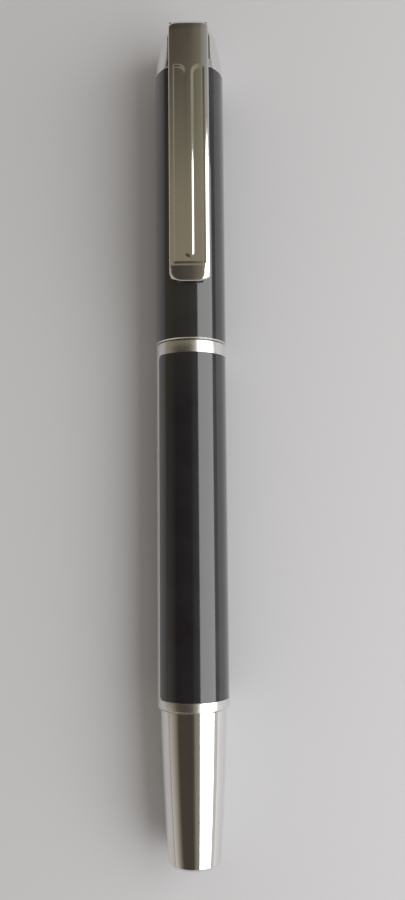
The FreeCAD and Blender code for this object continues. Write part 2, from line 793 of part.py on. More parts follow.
def make_clutch_ring():
    """The split spring ring in the cap that grips the section's trim ring."""
    body = add_body("cap_clutch_ring")
    gap = dim("running_clearance")
    outer = CAP_BORE_RADIUS + dim("clutch_groove_depth") - gap
    sketch = add_sketch(body, "outline")
    add_outline(sketch, box_outline(
        TRIM_RADIUS + gap, outer, CLUTCH_REAR, CLUTCH_FRONT))
    ring = body.newObject("PartDesign::Revolution", "cap_clutch_ring_turning")
    ring.Profile = sketch
    ring.ReferenceAxis = (sketch, ["V_Axis"])
    ring.setExpression("Angle", "360 - Dims.clutch_split_angle")


def make_inner_cap():
    """The liner that closes over the nib, held at its end wall by the crown screw."""
    outer = CAP_BORE_RADIUS - dim("liner_gap")
    rear = INNER_CAP_END - dim("inner_cap_length")
    turned("inner_cap", [
        (INNER_CAP_BORE_RADIUS, rear),
        (outer, rear),
        (outer, INNER_CAP_END),
        (dim("screw_radius"), INNER_CAP_END),
        (dim("screw_radius"), WASHER_FRONT),
        (INNER_CAP_BORE_RADIUS, WASHER_FRONT),
    ])


def make_crown_screw():
    body = turned("crown_screw", [
        (0, SCREW_HEAD_REAR),
        (dim("screw_head_radius"), SCREW_HEAD_REAR),
        (dim("screw_head_radius"), SCREW_HEAD_FRONT),
        (dim("screw_radius"), SCREW_HEAD_FRONT),
        (dim("screw_radius"), SCREW_END),
        (0, SCREW_END),
    ])
    slot = add_sketch(body, "slot")
    half = dim("screw_slot_width") / 2
    add_outline(slot, box_outline(
        -half, half, SCREW_HEAD_REAR, SCREW_HEAD_REAR + dim("screw_slot_depth")))
    add_pocket(body, slot, dim("screw_head_radius") * 2)
    turned("crown_lock_washer", box_outline(
        dim("screw_radius"), dim("washer_radius"), SCREW_HEAD_FRONT, WASHER_FRONT))


def make_crown():
    """The chrome end of the cap: a rounded taper with a tenon, a screw hole and the clip's slot."""
    body = turned("cap_crown", [
        (dim("screw_radius"), CROWN_TENON_REAR),
        (CAP_BORE_RADIUS, CROWN_TENON_REAR),
        (CAP_BORE_RADIUS, CROWN_BASE),
        (CAP_RADIUS, CROWN_BASE),
        (dim("crown_belly_radius"), CROWN_BASE + dim("crown_belly")),
        (dim("crown_shoulder_radius"), CROWN_BASE + dim("crown_shoulder_length"),
         Arc(dim("crown_edge_radius"))),
        (dim("crown_end_radius"), CROWN_END),
        (0, CROWN_END),
        (0, SCREW_END),
        (dim("screw_radius"), SCREW_END),
    ])
    clearance = dim("clip_clearance")
    slot = add_sketch(body, "clip_slot", "YZ_Plane")
    add_outline(slot, box_outline(SLOT_REAR, CROWN_END + clearance, SLOT_FLOOR, CLIP_TOP))
    add_pocket(body, slot, dim("clip_width") + clearance * 2)
    tab_slot = add_sketch(body, "tab_slot", "YZ_Plane")
    tab_floor = TAB_BOTTOM - dim("clip_swing_clearance")
    add_outline(tab_slot, box_outline(
        TAB_REAR - clearance, TAB_FRONT + clearance, tab_floor, HEAD_BOTTOM))
    add_pocket(body, tab_slot, dim("clip_tab_width") + clearance * 2)


# ---------------------------------------------------------------- clip

def clip_side_outline():
    """The clip seen from the side: lip, belly, long blade, and the head that fills the slot."""
    belly = CAP_RADIUS + dim("clip_tip_clearance")
    nose = dim("clip_lip_height") / 2
    fold = CLIP_LIP + dim("clip_tip_length")
    ramp = fold + dim("clip_belly_ramp")
    bend = dim("clip_head_bend")
    lip_top = belly + dim("clip_lip_height")
    return [
        (CLIP_LIP + nose, belly),
        (fold, belly),
        (ramp, CLIP_UNDERSIDE),
        (HEAD_REAR, CLIP_UNDERSIDE),
        (HEAD_REAR, HEAD_BOTTOM),
        (CLIP_END, HEAD_BOTTOM),
        (CLIP_END, CLIP_TOP - bend, Arc(bend)),
        (CLIP_END - bend, CLIP_TOP),
        (fold, CLIP_TOP, Arc(dim("clip_tip_bend"))),
        (CLIP_LIP + dim("clip_tip_slope"), lip_top),
        (CLIP_LIP + nose, lip_top, Arc(nose)),
        (CLIP_LIP, belly + nose, Arc(nose)),
    ]


def clip_plan_outline():
    """The clip seen from above, with rounded corners at both ends."""
    half = dim("clip_width") / 2
    corner, head_corner = dim("clip_corner_radius"), dim("clip_head_corner")
    return [
        (corner - half, CLIP_LIP),
        (half - corner, CLIP_LIP, Arc(corner)),
        (half, CLIP_LIP + corner),
        (half, CLIP_END - head_corner, Arc(head_corner)),
        (half - head_corner, CLIP_END),
        (head_corner - half, CLIP_END, Arc(head_corner)),
        (-half, CLIP_END - head_corner),
        (-half, CLIP_LIP + corner, Arc(corner)),
    ]


def clip_recess_outline():
    """The shallow recess in the clip's face, which runs round the end of the centre rib."""
    side = dim("clip_width") / 2 - dim("clip_border")
    rib = dim("clip_rib_width") / 2
    flare = dim("clip_flare_radius")
    low = CLIP_LIP + dim("clip_recess_start")
    rib_end = CLIP_LIP + dim("clip_rib_end") + rib
    top = CLIP_LIP + dim("clip_recess_top")
    return [
        (-side, low),
        (side, low),
        (side, top),
        (rib + flare, top, Arc(flare)),
        (rib, top - flare),
        (rib, rib_end, Arc(rib, -1)),
        (0, rib_end - rib, Arc(rib, -1)),
        (-rib, rib_end),
        (-rib, top - flare, Arc(flare)),
        (-(rib + flare), top),
        (-side, top),
    ]


def make_clip():
    body = add_body("clip")
    width, margin = dim("clip_width"), dim("clip_clearance")
    side = add_sketch(body, "side", "YZ_Plane")
    add_outline(side, clip_side_outline())
    add_pad(body, side, width)
    plan = add_sketch(body, "plan")
    add_outline(plan, box_outline(
        -width / 2 - margin, width / 2 + margin, CLIP_LIP - margin, CLIP_END + margin))
    add_outline(plan, clip_plan_outline())
    add_pocket(body, plan, CLIP_TOP * 2 + margin)
    face = add_sketch(body, "face", lift=CLIP_TOP)
    add_outline(face, clip_recess_outline())
    add_pocket(body, face, dim("clip_recess_depth") * 2)
    tab = add_sketch(body, "tab", "YZ_Plane")
    half_tab = dim("clip_tab_thickness") / 2
    add_outline(tab, [
        (TAB_REAR, TAB_BOTTOM + half_tab, Arc(half_tab)),
        (TAB_REAR + half_tab, TAB_BOTTOM, Arc(half_tab)),
        (TAB_FRONT, TAB_BOTTOM + half_tab),
        (TAB_FRONT, HEAD_BOTTOM),
        (TAB_REAR, HEAD_BOTTOM),
    ])
    add_pad(body, tab, dim("clip_tab_width"))


# ---------------------------------------------------------------- build, check and write

make_barrel_tube()
make_barrel_wrap()
make_tail()
make_thread_bush()
make_section()
make_thread_collar()
make_seal_ring()
make_nib_housing()
make_feed()
make_nib()
make_nib_tip()
make_converter()
make_knob()
make_piston()
make_cap_tube()
make_clutch_ring()
make_inner_cap()
make_crown_screw()
make_crown()
make_clip()
doc.recompute()

for item in doc.Objects:
    if {"Invalid", "Error"} & set(item.State):
        raise RuntimeError(f"{item.Label} failed: {item.State}")

pieces = [item for item in doc.Objects if item.TypeId in ("PartDesign::Body", "Part::Sphere")]
os.makedirs("parts", exist_ok=True)
for piece in pieces:
    if piece.Shape.isNull() or not piece.Shape.isValid() or len(piece.Shape.Solids) != 1:
        raise RuntimeError(f"{piece.Label} has no sound solid")
    piece.Shape.exportStep(f"parts/{piece.Label}.step")
    box = piece.Shape.BoundBox
    print(f"{piece.Label:24s} volume {piece.Shape.Volume:9.2f}  Y {box.YMin:7.2f} to {box.YMax:7.2f}")
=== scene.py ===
import math

import bmesh
import bpy
from mathutils import Matrix, Vector


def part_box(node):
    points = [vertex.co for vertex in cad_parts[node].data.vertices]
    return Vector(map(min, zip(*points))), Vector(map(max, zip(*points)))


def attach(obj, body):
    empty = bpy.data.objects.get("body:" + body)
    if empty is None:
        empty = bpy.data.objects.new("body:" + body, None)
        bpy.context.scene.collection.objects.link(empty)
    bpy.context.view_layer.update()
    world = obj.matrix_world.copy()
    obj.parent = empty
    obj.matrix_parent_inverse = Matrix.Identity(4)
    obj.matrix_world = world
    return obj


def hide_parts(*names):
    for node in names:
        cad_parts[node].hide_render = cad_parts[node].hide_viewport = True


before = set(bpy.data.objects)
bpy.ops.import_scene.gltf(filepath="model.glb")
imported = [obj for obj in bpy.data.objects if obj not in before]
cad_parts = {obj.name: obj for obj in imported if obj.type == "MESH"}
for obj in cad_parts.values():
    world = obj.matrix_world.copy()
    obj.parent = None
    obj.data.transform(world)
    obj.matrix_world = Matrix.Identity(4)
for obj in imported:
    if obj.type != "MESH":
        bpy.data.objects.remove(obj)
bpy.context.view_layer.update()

MM = 0.001


# ---------------------------------------------------------------- places read from the frame

def extent(node):
    """Rear end, front end and outer radius of a turned CAD node."""
    low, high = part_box(node)
    return low[1], high[1], (high[0] - low[0]) / 2


CAP_REAR, CAP_FRONT, CAP_RADIUS = extent("cap_tube")
BARREL_REAR, BARREL_FRONT, BARREL_RADIUS = extent("barrel_tube")
PANEL_REAR, PANEL_FRONT, _ = extent("barrel_wrap")
TAIL_REAR, TAIL_TENON_FRONT, TAIL_RADIUS = extent("tail_cone")
CROWN_TENON, CROWN_FRONT, _ = extent("cap_crown")
CLIP_LOW, CLIP_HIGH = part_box("clip")
AXIS_Z = sum(corner[2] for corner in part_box("cap_tube")) / 2


# ---------------------------------------------------------------- materials

def new_material(name):
    """An empty node material with a Principled shader, and a helper that adds linked nodes."""
    material = bpy.data.materials.new(name)
    material.use_nodes = True
    return material, material.node_tree, material.node_tree.nodes["Principled BSDF"]


def add_noise(tree, scale, detail=4.0, stretch=(1, 1, 1), roughness=0.55):
    """Noise in object space, stretched along an axis where stretch is small."""
    place = tree.nodes.new("ShaderNodeTexCoord")
    shape = tree.nodes.new("ShaderNodeMapping")
    shape.inputs["Scale"].default_value = stretch
    grain = tree.nodes.new("ShaderNodeTexNoise")
    grain.inputs["Scale"].default_value = scale
    grain.inputs["Detail"].default_value = detail
    grain.inputs["Roughness"].default_value = roughness
    tree.links.new(place.outputs["Object"], shape.inputs["Vector"])
    tree.links.new(shape.outputs["Vector"], grain.inputs["Vector"])
    return grain.outputs["Fac"]


def add_range(tree, source, low, high, start=0.3, end=0.7):
    """Maps a 0 to 1 value onto low to high."""
    spread = tree.nodes.new("ShaderNodeMapRange")
    spread.inputs["From Min"].default_value = start
    spread.inputs["From Max"].default_value = end
    spread.inputs["To Min"].default_value = low
    spread.inputs["To Max"].default_value = high
    tree.links.new(source, spread.inputs["Value"])
    return spread.outputs["Result"]


def add_ramp(tree, source, colours):
    """Maps a 0 to 1 value onto evenly spread colours."""
    ramp = tree.nodes.new("ShaderNodeValToRGB")
    stops = ramp.color_ramp.elements
    while len(stops) < len(colours):
        stops.new(0.5)
    for number, colour in enumerate(colours):
        stops[number].position = 0.3 + 0.4 * number / (len(colours) - 1)
        stops[number].color = (*colour, 1)
    tree.links.new(source, ramp.inputs["Fac"])
    return ramp.outputs["Color"]


def add_bump(tree, shader, source, distance):
    """Lets a field stand out from the surface by a distance."""
    bump = tree.nodes.new("ShaderNodeBump")
    bump.inputs["Distance"].default_value = distance
    tree.links.new(source, bump.inputs["Height"])
    tree.links.new(bump.outputs["Normal"], shader.inputs["Normal"])


def make_surface(name, colours, roughness, metallic=0.0, grain=900.0, stretch=(1, 1, 1),
                 bump=0.0, coat=0.0, transmission=0.0, ior=1.5):
    """A procedural finish: colour and roughness vary with the grain, which may also stand out."""
    material, tree, shader = new_material(name)
    field = add_noise(tree, grain, stretch=stretch)
    tree.links.new(add_ramp(tree, field, colours), shader.inputs["Base Color"])
    tree.links.new(add_range(tree, field, *roughness), shader.inputs["Roughness"])
    shader.inputs["Metallic"].default_value = metallic
    shader.inputs["IOR"].default_value = ior
    shader.inputs["Coat Weight"].default_value = coat
    shader.inputs["Coat Roughness"].default_value = 0.03
    shader.inputs["Transmission Weight"].default_value = transmission
    if bump:
        add_bump(tree, shader, field, bump)
    return material


LACQUER = make_surface(
    "black_lacquer", [(0.010, 0.010, 0.012), (0.016, 0.016, 0.020)], (0.10, 0.16),
    grain=160.0, coat=1.0)
CHROME = make_surface(
    "bright_chrome", [(0.80, 0.79, 0.78), (0.88, 0.87, 0.86)], (0.05, 0.10), metallic=1.0,
    grain=220.0, stretch=(1, 0.25, 1))
SATIN_METAL = make_surface(
    "satin_metal", [(0.74, 0.73, 0.71), (0.86, 0.85, 0.84)], (0.20, 0.30), metallic=1.0,
    grain=2600.0, stretch=(1, 12, 1), bump=0.000002)
BRASS = make_surface(
    "turned_brass", [(0.50, 0.36, 0.14), (0.72, 0.56, 0.28)], (0.22, 0.36), metallic=1.0,
    grain=1800.0, stretch=(1, 10, 1), bump=0.000004)
RUBBER = make_surface(
    "seal_rubber", [(0.015, 0.015, 0.015), (0.03, 0.03, 0.03)], (0.55, 0.75), grain=2400.0,
    bump=0.000006)
GRIP_PLASTIC = make_surface(
    "grip_plastic", [(0.012, 0.012, 0.014), (0.022, 0.022, 0.025)], (0.18, 0.30), grain=500.0,
    bump=0.000002, coat=0.4)
MATTE_PLASTIC = make_surface(
    "inner_plastic", [(0.035, 0.035, 0.038), (0.06, 0.06, 0.064)], (0.38, 0.52), grain=900.0,
    bump=0.000005)
FEED_PLASTIC = make_surface(
    "feed_plastic", [(0.012, 0.012, 0.012), (0.026, 0.026, 0.027)], (0.40, 0.55), grain=1500.0,
    bump=0.000005)
NIB_STEEL = make_surface(
    "nib_steel", [(0.62, 0.62, 0.63), (0.78, 0.78, 0.79)], (0.12, 0.22), metallic=1.0,
    grain=1600.0, stretch=(1, 0.15, 1), bump=0.000001)
TIPPING = make_surface(
    "nib_tipping", [(0.72, 0.72, 0.75), (0.82, 0.82, 0.84)], (0.10, 0.16), metallic=1.0,
    grain=2000.0)
SPRING_STEEL = make_surface(
    "spring_steel", [(0.42, 0.42, 0.44), (0.58, 0.58, 0.60)], (0.26, 0.40), metallic=1.0,
    grain=1500.0, bump=0.000003)
CLEAR_PLASTIC = make_surface(
    "clear_plastic", [(0.90, 0.93, 0.95), (0.96, 0.98, 0.99)], (0.04, 0.10), grain=300.0,
    transmission=0.95, ior=1.49)


# ---------------------------------------------------------------- mesh helpers

def add_piece(name, mesh, material, body, slot, *nodes):
    """Adds a mesh to the scene in place of CAD nodes and lets it ride on their body."""
    piece = bpy.data.objects.new(name, mesh)
    bpy.context.scene.collection.objects.link(piece)
    mesh.materials.append(material)
    mesh.shade_smooth()
    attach(piece, body)
    if nodes:
        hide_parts(*nodes)
    return piece


def even_normals(piece):
    """Keeps flat and round stretches crisp beside their small fillets."""
    modifier = piece.modifiers.new("even_normals", "WEIGHTED_NORMAL")
    modifier.keep_sharp = True
    modifier.weight = 80


def arc_points(start, end, bulge, steps):
    """Points from start to end on an arc that stands out from the chord by bulge."""
    chord = end - start
    half = chord.length / 2
    radius = (half ** 2 + bulge ** 2) / (2 * bulge)
    across = Vector((chord.y, -chord.x)).normalized()
    centre = (start + end) / 2 + across * (bulge - radius)
    first = math.atan2(start.y - centre.y, start.x - centre.x)
    sweep = 2 * math.asin(half / radius)
    return [centre + radius * Vector((math.cos(first + sweep * k / steps),
                                      math.sin(first + sweep * k / steps)))
            for k in range(steps + 1)]


def rounded(corners, steps=6):
    """A closed outline with each corner (radius, y, fillet) replaced by an arc."""
    points = []
    for number, (across, along, fillet) in enumerate(corners):
        corner = Vector((across, along))
        before = Vector(corners[number - 1][:2]) - corner
        after = Vector(corners[(number + 1) % len(corners)][:2]) - corner
        bend = before.angle(after) / 2
        if not fillet or bend > math.radians(89.5):
            points.append(corner)
            continue
        reach = min(fillet / math.tan(bend), before.length * 0.45, after.length * 0.45)
        radius = reach * math.tan(bend)
        middle = (before.normalized() + after.normalized()).normalized()
        centre = corner + middle * radius / math.sin(bend)
        start = corner + before.normalized() * reach - centre
        end = corner + after.normalized() * reach - centre
        turn = start.angle_signed(end)
        for step in range(steps + 1):
            points.append(centre + Matrix.Rotation(-turn * step / steps, 2) @ start)
    return points


def lathe_mesh(name, points, segments=224):
    """Turns a closed outline of (radius, y) points about the pen's axis."""
    shape = bmesh.new()
    rings = []
    for across, along in points:
        if across < 1e-7:
            pole = shape.verts.new((0, along, AXIS_Z))
            rings.append([pole] * segments)
            continue
        rings.append([shape.verts.new((
            across * math.cos(2 * math.pi * k / segments), along,
            AXIS_Z + across * math.sin(2 * math.pi * k / segments))) for k in range(segments)])
    for number, ring in enumerate(rings):
        following = rings[(number + 1) % len(rings)]
        for k in range(segments):
            corners = [ring[k], ring[(k + 1) % segments],
                       following[(k + 1) % segments], following[k]]
            corners = list(dict.fromkeys(corners))
            if len(corners) > 2:
                shape.faces.new(corners)
    bmesh.ops.recalc_face_normals(shape, faces=shape.faces)
    mesh = bpy.data.meshes.new(name)
    shape.to_mesh(mesh)
    shape.free()
    return mesh


def cut(piece, cutter, edge=0.0):
    """Cuts a mesh out of a piece, breaks the new edges and removes the cutter."""
    modifier = piece.modifiers.new("cut", "BOOLEAN")
    modifier.operation = "DIFFERENCE"
    modifier.solver = "EXACT"
    modifier.object = cutter
    if edge:
        bevel = piece.modifiers.new("edge", "BEVEL")
        bevel.width = edge
        bevel.segments = 3
        bevel.limit_method = "ANGLE"
        bevel.angle_limit = math.radians(35)
    bpy.context.view_layer.update()
    graph = bpy.context.evaluated_depsgraph_get()
    result = bpy.data.meshes.new_from_object(piece.evaluated_get(graph))
    piece.modifiers.clear()
    piece.data = result
    result.shade_smooth()
    bpy.data.objects.remove(cutter)


def temporary(name, mesh):
    """An unseen helper object, used once as a cutter."""
    helper = bpy.data.objects.new(name, mesh)
    bpy.context.scene.collection.objects.link(helper)
    return helper


# ---------------------------------------------------------------- barrel and tail

STRIP_ANGLE = math.radians(24)
STRIP_TILT = math.radians(14)
WRAP_DEPTH = 0.25 * MM
WRAP_CORNER = 0.75 * MM
BARREL_BORE = 5.1 * MM
EDGE = 0.10 * MM


def wrap_mesh(name, inner, outer, rear, front, gap_angle, corner, columns=200):
    """A C-shaped shell round the axis. Its corners are rounded as seen on the unrolled sheet."""
    half_sheet = (math.pi - gap_angle / 2) * outer
    corner_steps = [corner * (1 - math.cos(math.pi / 2 * k / 8)) for k in range(9)]
    rows = [rear + step for step in corner_steps]
    rows += [front - step for step in reversed(corner_steps)]
    shape = bmesh.new()
    layers = {inner: [], outer: []}
    for radius, layer in layers.items():
        for along in rows:
            depth = min(along - rear, front - along)
            inset = corner - math.sqrt(max(corner ** 2 - max(corner - depth, 0) ** 2, 0))
            half_angle = (half_sheet - inset) / outer
            row = []
            for k in range(columns + 1):
                angle = -STRIP_TILT - half_angle + 2 * half_angle * k / columns
                row.append(shape.verts.new((
                    radius * math.cos(angle), along, AXIS_Z + radius * math.sin(angle))))
            layer.append(row)
    for layer in layers.values():
        for low, high in zip(layer, layer[1:]):
            for k in range(columns):
                shape.faces.new((low[k], low[k + 1], high[k + 1], high[k]))
    below, above = layers[inner], layers[outer]
    for row in (0, -1):
        for k in range(columns):
            shape.faces.new((below[row][k], below[row][k + 1], above[row][k + 1], above[row][k]))
    for column in (0, -1):
        for number in range(len(rows) - 1):
            shape.faces.new((below[number][column], below[number + 1][column],
                             above[number + 1][column], above[number][column]))
    bmesh.ops.recalc_face_normals(shape, faces=shape.faces)
    mesh = bpy.data.meshes.new(name)
    shape.to_mesh(mesh)
    shape.free()
    return mesh


def make_barrel():
    """The satin frame with its two rings and one strip, and the glossy panel let into it."""
    corners = [
        (BARREL_BORE, BARREL_REAR, EDGE), (BARREL_RADIUS, BARREL_REAR, EDGE),
        (BARREL_RADIUS, BARREL_FRONT, EDGE * 1.5), (BARREL_BORE, BARREL_FRONT, EDGE),
    ]
    tube = add_piece("barrel_frame", lathe_mesh("barrel_frame", rounded(corners)),
                     SATIN_METAL, "barrel", "satin_metal", "barrel_tube")
    seat = BARREL_RADIUS - WRAP_DEPTH
    gap = 0.03 * MM
    cutter = temporary("panel_cutter", wrap_mesh(
        "panel_cutter", seat, BARREL_RADIUS + WRAP_DEPTH, PANEL_REAR - gap, PANEL_FRONT + gap,
        STRIP_ANGLE, WRAP_CORNER + gap))
    cut(tube, cutter, edge=0.05 * MM)
    even_normals(tube)
    panel = add_piece("barrel_panel", wrap_mesh(
        "barrel_panel", seat, BARREL_RADIUS, PANEL_REAR, PANEL_FRONT,
        STRIP_ANGLE + 2 * gap / BARREL_RADIUS, WRAP_CORNER),
        LACQUER, "barrel", "black_lacquer", "barrel_wrap")
    bevel = panel.modifiers.new("edge", "BEVEL")
    bevel.width = 0.06 * MM
    bevel.segments = 3
    bevel.limit_method = "ANGLE"
    bevel.angle_limit = math.radians(40)
    even_normals(panel)


def make_tail():
    """The polished tail: a long gentle curve, a chamfered end and a hollow tenon."""
    shoulder_y = BARREL_REAR
    front_y = BARREL_REAR - 0.2 * MM
    end_radius = 4.25 * MM
    chamfer = 0.5 * MM
    tenon, bore = 4.6 * MM, 3.6 * MM
    curve = arc_points(Vector((end_radius, TAIL_REAR + chamfer)),
                       Vector((TAIL_RADIUS, front_y - 0.12 * MM)), 0.16 * MM, 40)
    end = rounded([
        (0, TAIL_REAR + 0.12 * MM, 0), (end_radius - 0.9 * MM, TAIL_REAR + 0.12 * MM, 0.3 * MM),
        (end_radius - 0.6 * MM, TAIL_REAR, 0.12 * MM), (end_radius - 0.3 * MM, TAIL_REAR, 0.1 * MM),
        (end_radius - 0.02 * MM, TAIL_REAR + chamfer * 0.8, 0.08 * MM),
        (end_radius, TAIL_REAR + 2 * chamfer, 0),
    ])[:-1]
    front = rounded([
        (TAIL_RADIUS, front_y - MM, 0), (TAIL_RADIUS, front_y, 0.1 * MM),
        (5.25 * MM, front_y, 0.04 * MM), (5.25 * MM, shoulder_y, 0), (tenon, shoulder_y, 0),
        (tenon, TAIL_TENON_FRONT, 0.15 * MM), (bore, TAIL_TENON_FRONT, 0.1 * MM),
        (bore, TAIL_REAR + 2.6 * MM, 0.4 * MM), (0, TAIL_REAR + 2.6 * MM, 0),
    ])[1:]
    mesh = lathe_mesh("tail", end + curve[1:] + front)
    even_normals(add_piece("tail", mesh, CHROME, "barrel", "bright_chrome", "tail_cone"))


# ---------------------------------------------------------------- cap and crown

def make_cap():
    """The glossy cap tube, with a bright bare chamfer round its mouth."""
    bore = CAP_RADIUS - 0.65 * MM
    lip = 0.22 * MM
    groove_rear, groove_front, _ = extent("cap_clutch_ring")
    groove = bore + 0.2 * MM
    corners = [
        (bore, CAP_REAR + lip, 0.08 * MM), (CAP_RADIUS - lip, CAP_REAR + lip, 0),
        (CAP_RADIUS, CAP_REAR + lip, 0.05 * MM), (CAP_RADIUS, CAP_FRONT, 0.06 * MM),
        (bore, CAP_FRONT, 0), (bore, groove_front, 0), (groove, groove_front, 0),
        (groove, groove_rear, 0), (bore, groove_rear, 0),
    ]
    even_normals(add_piece("cap_barrel", lathe_mesh("cap_barrel", rounded(corners)),
                           LACQUER, "cap", "black_lacquer", "cap_tube"))
    ring = [
        (bore, CAP_REAR + lip, 0), (bore, CAP_REAR, 0.06 * MM),
        (CAP_RADIUS - lip * 0.8, CAP_REAR, 0.05 * MM),
        (CAP_RADIUS, CAP_REAR + lip * 0.9, 0.04 * MM),
        (CAP_RADIUS, CAP_REAR + lip, 0),
    ]
    even_normals(add_piece("cap_lip", lathe_mesh("cap_lip", rounded(ring)),
                           SATIN_METAL, "cap", "satin_metal"))


def box_mesh(name, low, high):
    """A closed box between two corners."""
    shape = bmesh.new()
    bmesh.ops.create_cube(shape, size=1)
    size = Vector(high) - Vector(low)
    middle = (Vector(high) + Vector(low)) / 2
    for vert in shape.verts:
        vert.co = middle + Vector(a * b for a, b in zip(vert.co, size))
    mesh = bpy.data.meshes.new(name)
    shape.to_mesh(mesh)
    shape.free()
    return mesh


def make_crown():
    """The polished crown: a curved taper with a rounded end, a tenon and the clip's slot."""
    base = CAP_FRONT
    length = CROWN_FRONT - base
    bore = CAP_RADIUS - 0.65 * MM
    shoulder = Vector((4.83 * MM, base + 0.805 * length))
    end = Vector((3.5 * MM, CROWN_FRONT))
    taper = arc_points(Vector((CAP_RADIUS - 0.02 * MM, base + 0.06 * MM)), shoulder, 0.14 * MM, 24)
    edge = arc_points(shoulder, end, 0.30 * MM, 12)
    points = [Vector((1.05 * MM, CROWN_TENON)), Vector((bore, CROWN_TENON)), Vector((bore, base)),
              Vector((CAP_RADIUS - 0.08 * MM, base))]
    points += taper + edge[1:]
    points += [Vector((3.2 * MM, CROWN_FRONT)), Vector((0, CROWN_FRONT)),
               Vector((0, base + 2.2 * MM)), Vector((1.05 * MM, base + 2.2 * MM))]
    crown = add_piece("crown", lathe_mesh("crown", points), CHROME, "cap", "bright_chrome",
                      "cap_crown")
    half = (CLIP_HIGH[0] - CLIP_LOW[0]) / 2 + 0.3 * MM
    head_rear = CLIP_HIGH[1] - 5.6 * MM
    slot_floor = AXIS_Z + 3.35 * MM
    slot = temporary("slot_cutter", box_mesh(
        "slot_cutter", (-half, head_rear - 0.3 * MM, slot_floor),
        (half, CROWN_FRONT + MM, AXIS_Z + 2 * CAP_RADIUS)))
    cut(crown, slot, edge=0.08 * MM)
    tab = temporary("tab_cutter", box_mesh(
        "tab_cutter", (-1.5 * MM, CLIP_HIGH[1] - 4.7 * MM, AXIS_Z + 1.35 * MM),
        (1.5 * MM, CLIP_HIGH[1] - 3.1 * MM, slot_floor + 0.2 * MM)))
    cut(crown, tab)
    even_normals(crown)


# ---------------------------------------------------------------- clip

CLIP_RISE = CLIP_HIGH[2] - AXIS_Z
CLIP_HALF = (CLIP_HIGH[0] - CLIP_LOW[0]) / 2
CLIP_THICK = 1.05 * MM
HEAD_DEPTH = 3.95 * MM
RECESS_DEPTH = 0.09 * MM


def smooth_step(value, low, high):
    share = min(max((value - low) / (high - low), 0), 1)
    return share * share * (3 - 2 * share)


def recess_depth(across, along):
    """How deep the clip's face is sunk: a long recess with one rib that flares into the head."""
    low, top = CLIP_LOW[1] + 2.7 * MM, CLIP_LOW[1] + 36.8 * MM
    side, corner = CLIP_HALF - 0.7 * MM, 0.35 * MM
    over_x = abs(across) - side + corner
    over_y = low - along + corner
    inside = -(math.hypot(max(over_x, 0), max(over_y, 0)) + min(max(over_x, over_y), 0) - corner)
    rib = math.hypot(across, min(along - (CLIP_LOW[1] + 4.5 * MM), 0)) - 0.45 * MM
    head = top - along
    blend = 1.5 * MM
    share = max(blend - abs(rib - head), 0) / blend
    land = min(rib, head) - share * share * blend / 4
    return RECESS_DEPTH * (smooth_step(inside, -0.10 * MM, 0.34 * MM)
                           * smooth_step(land, -0.10 * MM, 0.40 * MM))


def clip_path():
    """Points (y, height) along the clip's outer face, from the rolled lip to the head's foot."""
    lip, end, top = CLIP_LOW[1], CLIP_HIGH[1], CLIP_RISE
    fold, fold_radius, bend = lip + 2.4 * MM, 1.3 * MM, 2.4 * MM
    path = [(lip + 0.05 * MM, top - 1.45 * MM), (lip + 0.02 * MM, top - 1.22 * MM),
            (lip + 0.10 * MM, top - 1.06 * MM)]
    slope = math.radians(28)
    foot = Vector((fold - fold_radius * math.sin(slope), top - fold_radius * (1 - math.cos(slope))))
    nose = Vector((lip + 0.26 * MM, top - 0.96 * MM))
    path += [nose.lerp(foot, k / 12) for k in range(12)]
    for k in range(9):
        turn = slope * (1 - k / 8)
        path.append((fold - fold_radius * math.sin(turn), top - fold_radius * (1 - math.cos(turn))))
    along = fold
    while along < end - bend - 0.14 * MM:
        fine = along < lip + 7 * MM or along > end - 12 * MM
        along += 0.12 * MM if fine else 0.4 * MM
        path.append((along, top))
    for k in range(15):
        turn = math.pi / 2 * k / 14
        path.append((end - bend + bend * math.sin(turn), top - bend * (1 - math.cos(turn))))
    path.append((end, top - HEAD_DEPTH))
    return path


def clip_half_width(along):
    """The blade is even in width, with rounded corners at the lip and at the head."""
    low, high = along - CLIP_LOW[1], CLIP_HIGH[1] - along
    corner, head = 1.2 * MM, 1.1 * MM
    inset = corner - math.sqrt(max(corner ** 2 - max(corner - low, 0) ** 2, 0))
    inset *= 0.85
    share = max(head - high, 0) / head
    return CLIP_HALF - inset - 0.75 * MM * share ** 3


